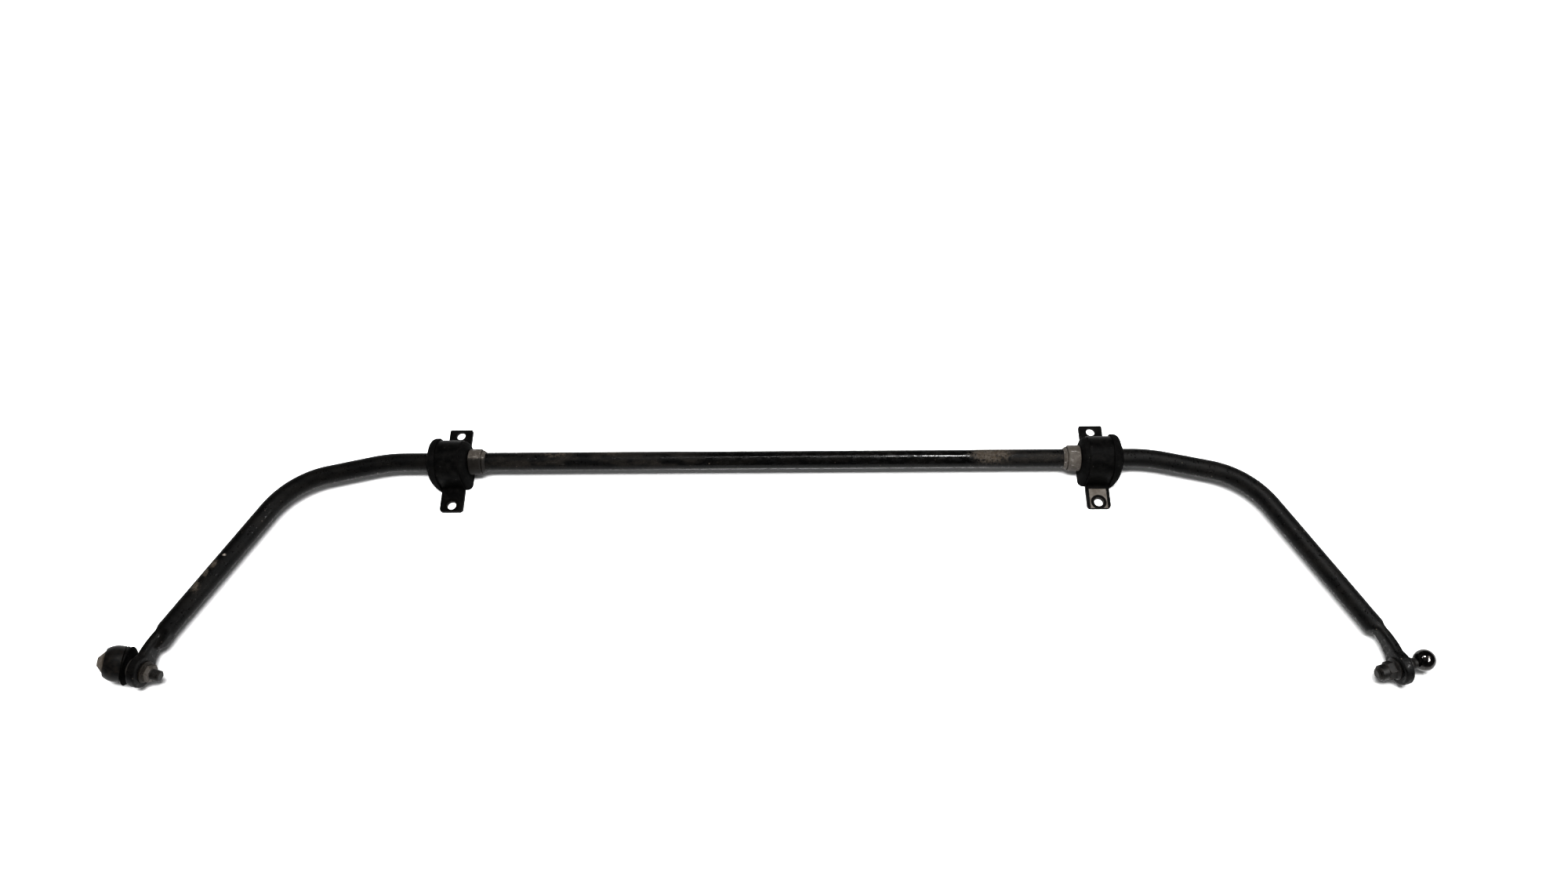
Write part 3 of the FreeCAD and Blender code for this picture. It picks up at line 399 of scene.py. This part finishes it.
def strap_paint(side):
    """Satin black paint; on the right, the front ear is bare round its bolt's mark."""
    finish = Finish(f"{'right' if side > 0 else 'left'}_strap_paint", specular=0.05)
    soft, edge = finish.edges(0.35 * MM)
    cloud = finish.noise(6 * MM, 5, 0.6, shift=side * 3.0)
    grain = finish.noise(0.7 * MM, 4, 0.65, shift=side * 2.0)
    fine = finish.noise(0.25 * MM, 3, 0.6)
    colour = finish.mix(finish.step(cloud, 0.35, 0.7), BLACK, grey(0.007, 0.05))
    specks = finish.maths("MULTIPLY", finish.step(finish.cells(4.2 * MM, 2 + side), 0.10, 0.04),
                          finish.step(cloud, 0.48, 0.6))
    colour = finish.mix(finish.maths("MULTIPLY", specks, 0.8), colour, grey(0.11, 0.06))
    wear = finish.maths("MULTIPLY", edge, finish.step(grain, 0.44, 0.66))
    roughness = finish.mix(cloud, 0.36, 0.56)
    colour = finish.mix(finish.maths("MULTIPLY", wear, 0.5), colour, grey(0.07, 0.12))
    y = finish.part(finish.place, "Y")
    x = finish.part(finish.place, "X")
    across = finish.maths("ABSOLUTE", finish.maths("SUBTRACT", x, BRACKET_X * side))
    hole = (BRACKET_X * side, FRONT_HOLE_Y, STRAP_THICKNESS)
    ring = finish.maths("SUBTRACT", finish.near(hole, 7.1 * MM, 7.9 * MM),
                        finish.near(hole, 4.5 * MM, 4.7 * MM))
    if side > 0:
        # The bare part runs up the ear between two painted margins, and has ragged edges.
        ragged = finish.maths("MULTIPLY", finish.maths("SUBTRACT", grain, 0.5), 3.2 * MM)
        inside = finish.step(finish.maths("ADD", across, ragged), 8.9 * MM, 8.0 * MM)
        low = finish.step(finish.maths("ADD", y, ragged), -24.2 * MM, -25.4 * MM)
        top = finish.step(finish.part(finish.facing, "Z"), 0.5, 0.8)
        bare = finish.maths("MULTIPLY", finish.maths("MULTIPLY", inside, low), top)
        bare = finish.maths("MULTIPLY", bare, finish.maths("SUBTRACT", 1.0, ring, clamp=True))
        pale = finish.mix(finish.step(cloud, 0.3, 0.7), grey(0.115, 0.09), grey(0.075, 0.13))
        pale = finish.mix(finish.step(grain, 0.60, 0.74), pale, grey(0.03, 0.2))
        colour = finish.mix(bare, colour, pale)
        roughness = finish.mix(bare, roughness, 0.62)
    colour = finish.mix(ring, colour, grey(0.0025, 0.15))
    rim = finish.near(hole, 4.75 * MM, 5.4 * MM)
    rim = finish.maths("MULTIPLY", rim, finish.step(grain, 0.5, 0.62))
    colour = finish.mix(finish.maths("MULTIPLY", rim, 0.35), colour, grey(0.16, 0.08))
    skin = finish.bump(finish.noise(1.9 * MM, 3, 0.5), 0.04 * MM, soft)
    skin = finish.bump(fine, 0.012 * MM, skin)
    return finish.set(colour, roughness, skin)


def rubber(name, shift=0.0, streaked=False):
    """Matte rubber: fine grain, a grey bloom and a little grit, and pale marks on a worn lip."""
    finish = Finish(name, specular=0.035)
    cloud = finish.noise(8 * MM, 5, 0.6, shift=shift)
    grain = finish.noise(0.45 * MM, 4, 0.7)
    colour = finish.mix(finish.step(cloud, 0.35, 0.72), grey(0.0042), grey(0.0085, 0.03))
    grit = finish.maths("MULTIPLY", finish.step(finish.cells(3.6 * MM, 1 + shift), 0.085, 0.03),
                        finish.step(cloud, 0.42, 0.55))
    colour = finish.mix(finish.maths("MULTIPLY", grit, 0.9), colour, grey(0.14, 0.05))
    top = finish.step(finish.part(finish.facing, "Z"), 0.2, 0.9)
    film = finish.maths("MULTIPLY", top, finish.step(finish.noise(2.2 * MM, 5, 0.7), 0.5, 0.8))
    colour = finish.mix(finish.maths("MULTIPLY", film, 0.35), colour, grey(0.024, 0.08))
    if streaked:
        lip = finish.maths("ADD", finish.part(finish.place, "X"),
                           BRACKET_X + BUSH_LIP_MIDDLE)
        lip = finish.step(finish.maths("ABSOLUTE", lip), 3.4 * MM, 2.2 * MM)
        marks = finish.step(finish.noise(2.2 * MM, 4, 0.7, (2.5, 0.7, 0.7), 4), 0.56, 0.66)
        colour = finish.mix(finish.maths("MULTIPLY", lip, marks), colour, grey(0.05, 0.06))
    roughness = finish.mix(cloud, 0.62, 0.85)
    skin = finish.bump(finish.noise(3.5 * MM, 4, 0.55, shift=5), 0.10 * MM)
    skin = finish.bump(grain, 0.035 * MM, skin)
    return finish.set(colour, roughness, skin)


def collar_metal(side):
    """Dull bare metal under dry dust; the left one has painted shade, near black, on its lower, front-facing side.
    """
    finish = Finish(f"{'right' if side > 0 else 'left'}_collar_metal", specular=0.4)
    soft, edge = finish.edges(0.4 * MM)
    cloud = finish.noise(5 * MM, 5, 0.62)
    grain = finish.noise(0.55 * MM, 5, 0.72)
    colour = finish.mix(finish.step(cloud, 0.3, 0.7), grey(0.045, 0.15), grey(0.075, 0.12))
    colour = finish.mix(finish.step(grain, 0.54, 0.70), colour, grey(0.014, 0.3))
    rubbed = finish.maths("MULTIPLY", finish.step(finish.noise(1.6 * MM, 3, 0.6, (4, 1, 1), 8),
                                                  0.56, 0.66), finish.step(cloud, 0.45, 0.6))
    colour = finish.mix(finish.maths("MULTIPLY", rubbed, 0.9), colour, grey(0.30, 0.03))
    colour = finish.mix(finish.maths("MULTIPLY", edge, finish.step(grain, 0.4, 0.6)), colour,
                        grey(0.13, 0.08))
    if side < 0:
        # Painted shade: the left collar turns near black where its surface faces the front (-Y), broken a little
        # by noise.
        shade_facing = finish.maths("ADD", finish.part(finish.facing, "Y"),
                            finish.maths("MULTIPLY", finish.maths("SUBTRACT", cloud, 0.5), 0.9))
        colour = finish.mix(finish.step(shade_facing, 0.05, -0.30), colour, grey(0.007, 0.2))
    metallic = finish.mix(rubbed, 0.15, 0.8)
    roughness = finish.mix(rubbed, finish.mix(cloud, 0.62, 0.8), 0.3)
    skin = finish.bump(cloud, 0.10 * MM, soft)
    skin = finish.bump(grain, 0.05 * MM, skin)
    return finish.set(colour, roughness, skin, metallic)


def liner_fabric():
    """A woven sleeve, greyed by dirt: threads cross round and along the bar."""
    finish = Finish("liner_fabric", specular=0.2)
    thread = 0.6 * MM
    x = finish.part(finish.place, "X")
    y = finish.part(finish.place, "Y")
    z = finish.maths("SUBTRACT", finish.part(finish.place, "Z"), AXIS_HEIGHT)
    around = finish.maths("MULTIPLY", finish.maths("ARCTAN2", z, y), 10 * MM)
    weave = finish.maths("MULTIPLY",
                         finish.maths("SINE", finish.maths("MULTIPLY", x, math.pi / thread)),
                         finish.maths("SINE", finish.maths("MULTIPLY", around, math.pi / thread)))
    cloud = finish.noise(2.5 * MM, 4, 0.6)
    colour = finish.mix(finish.step(weave, -0.3, 0.6), grey(0.05, 0.12), grey(0.16, 0.10))
    colour = finish.mix(finish.step(cloud, 0.4, 0.6), colour, grey(0.018, 0.1))
    return finish.set(colour, finish.mix(cloud, 0.75, 0.95), finish.bump(weave, 0.08 * MM))


def ball_steel(name, ball, stud):
    """A polished ball on a shank that is dark with old grease and light rust."""
    finish = Finish(name, specular=0.5)
    soft, edge = finish.edges(0.2 * MM)
    on_ball = finish.step(finish.along(tuple(ball), tuple(stud)), -9.6 * MM, -8.2 * MM)
    cloud = finish.noise(4 * MM, 5, 0.6)
    grain = finish.noise(0.5 * MM, 4, 0.7)
    smear = finish.noise(2.4 * MM, 5, 0.65, (1, 1, 2.4), 4)
    shank = finish.mix(finish.step(cloud, 0.35, 0.65), grey(0.004, 0.12), grey(0.010, 0.18))
    shank = finish.mix(finish.step(grain, 0.62, 0.74), shank, grey(0.06, 0.05))
    grease = finish.step(smear, 0.48, 0.62)
    steel = finish.mix(grease, grey(0.055, 0.02), grey(0.030, 0.10))
    colour = finish.mix(on_ball, shank, steel)
    metallic = finish.mix(on_ball, 0.3, finish.mix(grease, 1.0, 0.8))
    roughness = finish.mix(on_ball, finish.mix(cloud, 0.45, 0.7), finish.mix(grease, 0.09, 0.26))
    skin = finish.bump(grain, 0.008 * MM, soft)
    skin = finish.bump(smear, 0.03 * MM, skin)
    return finish.set(colour, roughness, skin, metallic)


def rusty_zinc():
    """Zinc plating gone dull, with specks of brown rust; darker and browner on the flange side, towards the eye.
    """
    finish = Finish("nut_zinc", specular=0.4)
    soft, edge = finish.edges(0.35 * MM)
    cloud = finish.noise(3.2 * MM, 5, 0.65)
    grain = finish.noise(0.45 * MM, 5, 0.72)
    colour = finish.mix(finish.step(cloud, 0.46, 0.68), grey(0.075, 0.09), grey(0.012, 0.35))
    colour = finish.mix(finish.step(grain, 0.58, 0.72), colour, RUST)
    # Darker and browner on the flange side, towards the eye.
    depth = finish.along(tuple(LEFT_BALL), tuple(-LEFT_STUD))
    colour = finish.mix(finish.step(depth, 33.5 * MM, 31.5 * MM), colour, grey(0.007, 0.35))
    colour = finish.mix(finish.maths("MULTIPLY", edge, finish.step(grain, 0.38, 0.55)), colour,
                        grey(0.10, 0.05))
    metallic = finish.mix(finish.step(cloud, 0.40, 0.62), 0.4, 0.05)
    roughness = finish.mix(cloud, 0.42, 0.85)
    skin = finish.bump(cloud, 0.10 * MM, soft)
    skin = finish.bump(grain, 0.06 * MM, skin)
    return finish.set(colour, roughness, skin, metallic)


def dark_steel(name, base=0.006, shift=0.0, specular=0.2, worn=0.12):
    """Blackened steel with an oily sheen and rubbed edges."""
    finish = Finish(name, specular=specular)
    soft, edge = finish.edges(0.3 * MM)
    cloud = finish.noise(4 * MM, 5, 0.6, shift=shift)
    grain = finish.noise(0.4 * MM, 4, 0.7, shift=shift)
    colour = finish.mix(finish.step(cloud, 0.35, 0.7), grey(base), grey(base * 2.4, 0.12))
    colour = finish.mix(finish.maths("MULTIPLY", edge, finish.step(grain, 0.45, 0.62)), colour,
                        grey(worn, 0.10))
    stain = finish.maths("MULTIPLY", finish.step(finish.noise(2 * MM, 5, 0.7, shift=shift + 7),
                                                 0.58, 0.72), 0.4)
    colour = finish.mix(stain, colour, RUST)
    roughness = finish.mix(cloud, 0.34, 0.60)
    skin = finish.bump(finish.noise(1.5 * MM, 4, 0.6), 0.05 * MM, soft)
    skin = finish.bump(grain, 0.02 * MM, skin)
    return finish.set(colour, roughness, skin)


def cap_metal():
    """A pale cast cap, speckled with dirt."""
    finish = Finish("cap_metal", specular=0.35)
    soft, edge = finish.edges(0.4 * MM)
    cloud = finish.noise(4 * MM, 5, 0.62)
    grain = finish.noise(0.6 * MM, 5, 0.72)
    colour = finish.mix(finish.step(cloud, 0.3, 0.7), grey(0.055, 0.17), grey(0.085, 0.13))
    colour = finish.mix(finish.step(grain, 0.55, 0.72), colour, grey(0.022, 0.25))
    colour = finish.mix(finish.maths("MULTIPLY", edge, finish.step(grain, 0.4, 0.6)), colour,
                        grey(0.12, 0.08))
    # Dirt gathers round the foot of the cone.
    depth = finish.along(tuple(LEFT_BALL), tuple(SOCKET))
    foot = finish.maths("MULTIPLY", finish.step(depth, 13.5 * MM, 11 * MM),
                        finish.step(cloud, 0.3, 0.6))
    colour = finish.mix(foot, colour, (0.018, 0.012, 0.006, 1))
    skin = finish.bump(cloud, 0.08 * MM, soft)
    skin = finish.bump(grain, 0.06 * MM, skin)
    return finish.set(colour, finish.mix(cloud, 0.6, 0.85), skin)


def plastic(name, colour_value, dirty=0.5):
    """Moulded plastic, darkened in places by dirt."""
    finish = Finish(name, specular=0.4)
    cloud = finish.noise(3 * MM, 5, 0.6)
    grain = finish.noise(0.4 * MM, 4, 0.6)
    colour = finish.mix(finish.maths("MULTIPLY", finish.step(cloud, 0.4, 0.7), dirty),
                        grey(colour_value, 0.05), grey(colour_value * 0.2, 0.15))
    return finish.set(colour, finish.mix(cloud, 0.4, 0.6), finish.bump(grain, 0.02 * MM))


def paint_nodes():
    """Gives every CAD node its material, and returns the materials by node."""
    liner = liner_fabric()
    finishes = {
        "bar": bar_paint(),
        "left_collar": collar_metal(-1),
        "right_collar": collar_metal(1),
        "left_bushing": rubber("left_bush_rubber", 0, True),
        "right_bushing": rubber("right_bush_rubber", 2),
        "left_bushing_liner": liner,
        "right_bushing_liner": liner,
        "left_bracket": strap_paint(-1),
        "right_bracket": strap_paint(1),
        "left_ball_stud": ball_steel("left_stud_steel", LEFT_BALL, LEFT_STUD),
        "right_ball_stud": ball_steel("right_stud_steel", RIGHT_BALL, RIGHT_STUD),
        "left_stud_nut": rusty_zinc(),
        "right_stud_nut": dark_steel("nut_black", shift=1),
        "right_nut_insert": plastic("insert_nylon", 0.10, 0.9),
        "left_socket_housing": dark_steel("housing_black", 0.0045, 5, 0.16, 0.07),
        "left_ball_seat": plastic("seat_acetal", 0.5),
        "left_socket_cap": cap_metal(),
        "left_boot_large_ring": dark_steel("ring_steel", 0.004, 2, 0.1, 0.03),
        "left_boot_small_ring": dark_steel("small_ring_steel", 0.012, 3, 0.3),
    }
    for node, material in finishes.items():
        mesh = NODES[node].data
        mesh.materials.clear()
        mesh.materials.append(material)
    return finishes


# --- Pieces ---------------------------------------------------------------------------------

def add_piece(name, mesh, material):
    """A new smooth-shaded object from a bmesh, which is freed."""
    data = bpy.data.meshes.new(name)
    mesh.to_mesh(data)
    mesh.free()
    for polygon in data.polygons:
        polygon.use_smooth = True
    data.materials.append(material)
    piece = bpy.data.objects.new(name, data)
    bpy.context.scene.collection.objects.link(piece)
    return piece


def subdivide(piece, levels):
    """Subdivision that is applied to the mesh."""
    modifier = piece.modifiers.new("subdivision", "SUBSURF")
    modifier.levels = levels
    modifier.render_levels = levels
    depsgraph = bpy.context.evaluated_depsgraph_get()
    mesh = bpy.data.meshes.new_from_object(piece.evaluated_get(depsgraph))
    piece.modifiers.remove(modifier)
    old = piece.data
    mesh.name = old.name
    piece.data = mesh
    bpy.data.meshes.remove(old)


# --- Boot ---------------------------------------------------------------------------------------

# The outside of the boot from the socket's neck to the stud's groove: share of the way along,
# radius in millimetres, and how far its bulge leans to the side that the swing presses.
BOOT_PROFILE = (
    (0.00, 15.5, 0.0), (0.05, 16.2, 0.1), (0.10, 16.3, 0.2), (0.16, 16.0, 0.3), (0.24, 16.9, 0.8),
    (0.34, 18.0, 1.3), (0.46, 18.2, 1.5), (0.57, 17.0, 1.3), (0.66, 14.9, 0.8), (0.73, 13.6, 0.5),
    (0.79, 13.0, 0.3), (0.85, 11.4, 0.1), (0.91, 9.8, 0.0), (0.96, 9.3, 0.0), (1.00, 9.1, 0.0),
)
BOOT_WIDE_REACH = 6.2 * MM
BOOT_NARROW_REACH = 15.6 * MM
BOOT_WALL = 1.3 * MM
BOOT_SIDES = 96


def boot_rows():
    """Rings of points round the boot: each is square to a direction that turns smoothly from
    the socket's axis to the stud's."""
    rows = []
    for share, radius, lean in BOOT_PROFILE:
        turned = Matrix.Rotation(SOCKET_TILT * (1 - share), 3, TILT_AXIS) @ LEFT_STUD
        reach = BOOT_WIDE_REACH + (BOOT_NARROW_REACH - BOOT_WIDE_REACH) * share
        pressed = TILT_AXIS.cross(turned).normalized()
        centre = LEFT_BALL - turned * reach + pressed * lean * MM
        rows.append((centre, TILT_AXIS, pressed, radius * MM))
    return rows


def make_boot(material):
    """The rubber boot as one closed wall, which bends between the socket and the stud's ring."""
    outer, inner = [], []
    for centre, side, other, radius in boot_rows():
        for wall, ring in ((0, outer), (BOOT_WALL, inner)):
            ring.append([centre + (side * math.cos(angle) + other * math.sin(angle))
                         * (radius - wall)
                         for angle in (2 * math.pi * turn / BOOT_SIDES
                                       for turn in range(BOOT_SIDES))])
    mesh = bmesh.new()
    loops = [[mesh.verts.new(point) for point in ring] for ring in outer + inner[::-1]]
    for first, second in zip(loops, loops[1:] + loops[:1]):
        for turn in range(BOOT_SIDES):
            following = (turn + 1) % BOOT_SIDES
            mesh.faces.new((first[turn], first[following], second[following], second[turn]))
    bmesh.ops.recalc_face_normals(mesh, faces=mesh.faces)
    boot = add_piece("left_boot_bellows", mesh, material)
    subdivide(boot, 1)
    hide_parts("left_boot")
    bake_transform(boot)


# --- Bar ----------------------------------------------------------------------------------------

# The centre line of the bar's right half: it is mirrored about BAR_CENTRE_X.
BAR_CENTRE_X = -7 * MM
FIRST_BEND_X = 375 * MM
FIRST_BEND_ANGLE = math.radians(12.8)
FIRST_BEND_RADIUS = 145 * MM
MAIN_BEND_X = 469 * MM
MAIN_BEND_RADIUS = 84 * MM
ARM_ANGLE = math.radians(59.2)
ARM_LENGTH = 193 * MM
FORGED_FROM = 42 * MM
BAR_OVERLAP = 5 * MM
BAR_SIDES = 72
DEGREES_PER_RING = 1.2
FORGING_VOXEL = 0.5 * MM
FORGING_ROUNDS = 30
DENT_DEPTH = 0.10 * MM


def arm_place(setback):
    """A point on the right arm, setback before the corner where the blade turns."""
    y = -(MAIN_BEND_X - FIRST_BEND_X) * math.tan(FIRST_BEND_ANGLE)
    along = ARM_LENGTH - setback
    return Vector((MAIN_BEND_X + along * math.cos(ARM_ANGLE), y - along * math.sin(ARM_ANGLE)))


def bar_route():
    """Points of the right half's centre line with the angle that the bar has turned there."""
    route = [(Vector((0.0, 0.0)), 0.0)]
    corner = Vector((FIRST_BEND_X, 0.0))
    heading = 0.0
    for turned, radius, following in (
        (FIRST_BEND_ANGLE, FIRST_BEND_RADIUS, arm_place(ARM_LENGTH)),
        (ARM_ANGLE, MAIN_BEND_RADIUS, None),
    ):
        reach = radius * math.tan((turned - heading) / 2)
        start = corner - Vector((math.cos(heading), -math.sin(heading))) * reach
        centre = start + Vector((-math.sin(heading), -math.cos(heading))) * radius
        steps = max(8, int(math.degrees(turned - heading) / DEGREES_PER_RING))
        for step in range(steps + 1):
            angle = heading + (turned - heading) * step / steps
            route.append((centre + Vector((math.sin(angle), math.cos(angle))) * radius, angle))
        corner = following
        heading = turned
    return route + [(arm_place(FORGED_FROM), ARM_ANGLE)]


def bar_rings():
    """Place, heading and radius of each ring, from the left end to the right one."""
    half = [(point, angle, BAR_RADIUS) for point, angle in bar_route()]
    for overlap, radius in ((0.6, BAR_RADIUS), (0.9, 0.995 * BAR_RADIUS), (1, 0.97 * BAR_RADIUS)):
        half.append((arm_place(FORGED_FROM - BAR_OVERLAP * overlap), ARM_ANGLE, radius))
    left = [(Vector((-point.x, point.y)), -angle, radius) for point, angle, radius in half[:0:-1]]
    return left + half


def sweep_bar(mesh):
    """The round stock, as one closed tube."""
    loops = []
    for point, angle, radius in bar_rings():
        across = Vector((math.sin(angle), math.cos(angle), 0))
        centre = Vector((point.x + BAR_CENTRE_X, point.y, AXIS_HEIGHT))
        loops.append([mesh.verts.new(centre + (across * math.cos(turn) + Vector((0, 0, 1))
                                               * math.sin(turn)) * radius)
                      for turn in (2 * math.pi * side / BAR_SIDES for side in range(BAR_SIDES))])
    for first, second in zip(loops, loops[1:]):
        for side in range(BAR_SIDES):
            following = (side + 1) % BAR_SIDES
            mesh.faces.new((first[side], first[following], second[following], second[side]))
    mesh.faces.new(loops[0])
    mesh.faces.new(loops[-1][::-1])


def forge(source, name):
    """A bmesh of the source, remeshed in voxels, softened and lightly dented."""
    data = bpy.data.meshes.new(name)
    bmesh.ops.remove_doubles(source, verts=source.verts, dist=1e-6)
    open_edges = [edge for edge in source.edges if edge.is_boundary]
    bmesh.ops.holes_fill(source, edges=open_edges, sides=0)
    source.to_mesh(data)
    source.free()
    rough = bpy.data.objects.new(name, data)
    bpy.context.scene.collection.objects.link(rough)
    remesh = rough.modifiers.new("remesh", "REMESH")
    remesh.mode = "VOXEL"
    remesh.voxel_size = FORGING_VOXEL
    smooth = rough.modifiers.new("smooth", "SMOOTH")
    smooth.factor = 0.5
    smooth.iterations = FORGING_ROUNDS
    depsgraph = bpy.context.evaluated_depsgraph_get()
    final = bpy.data.meshes.new_from_object(rough.evaluated_get(depsgraph))
    bpy.data.objects.remove(rough)
    bpy.data.meshes.remove(data)
    forged = bmesh.new()
    forged.from_mesh(final)
    bpy.data.meshes.remove(final)
    forged.normal_update()
    moves = []
    for vertex in forged.verts:
        broad = noise.noise(vertex.co / (6 * MM))
        fine = noise.noise(vertex.co / (1.7 * MM))
        moves.append(vertex.normal * DENT_DEPTH * (broad + 0.35 * fine))
    for vertex, move in zip(forged.verts, moves):
        vertex.co += move
    return forged


def forged_end(side):
    """The pressed end of one arm, whose shoulder, neck and eye flow into each other."""
    end = bmesh.new()
    end.from_mesh(NODES["bar"].data)
    place = arm_place(FORGED_FROM)
    bmesh.ops.bisect_plane(
        end, geom=end.verts[:] + end.edges[:] + end.faces[:], clear_inner=True,
        plane_co=(BAR_CENTRE_X + side * place.x, place.y, AXIS_HEIGHT),
        plane_no=(side * math.cos(ARM_ANGLE), -math.sin(ARM_ANGLE), 0))
    return forge(end, f"end_{side}")


def make_bar(material):
    """The swept stock and both forged ends, as the one piece that stands for the bar."""
    whole = bmesh.new()
    sweep_bar(whole)
    for side in (-1, 1):
        end = forged_end(side)
        data = bpy.data.meshes.new("end")
        end.to_mesh(data)
        end.free()
        whole.from_mesh(data)
        bpy.data.meshes.remove(data)
    bmesh.ops.recalc_face_normals(whole, faces=whole.faces)
    bar = add_piece("bar_forging", whole, material)
    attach(bar, "bar")
    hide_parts("bar")


make_camera()
make_studio()
finishes = paint_nodes()
make_bar(finishes["bar"])
make_boot(rubber("boot_rubber", 6))
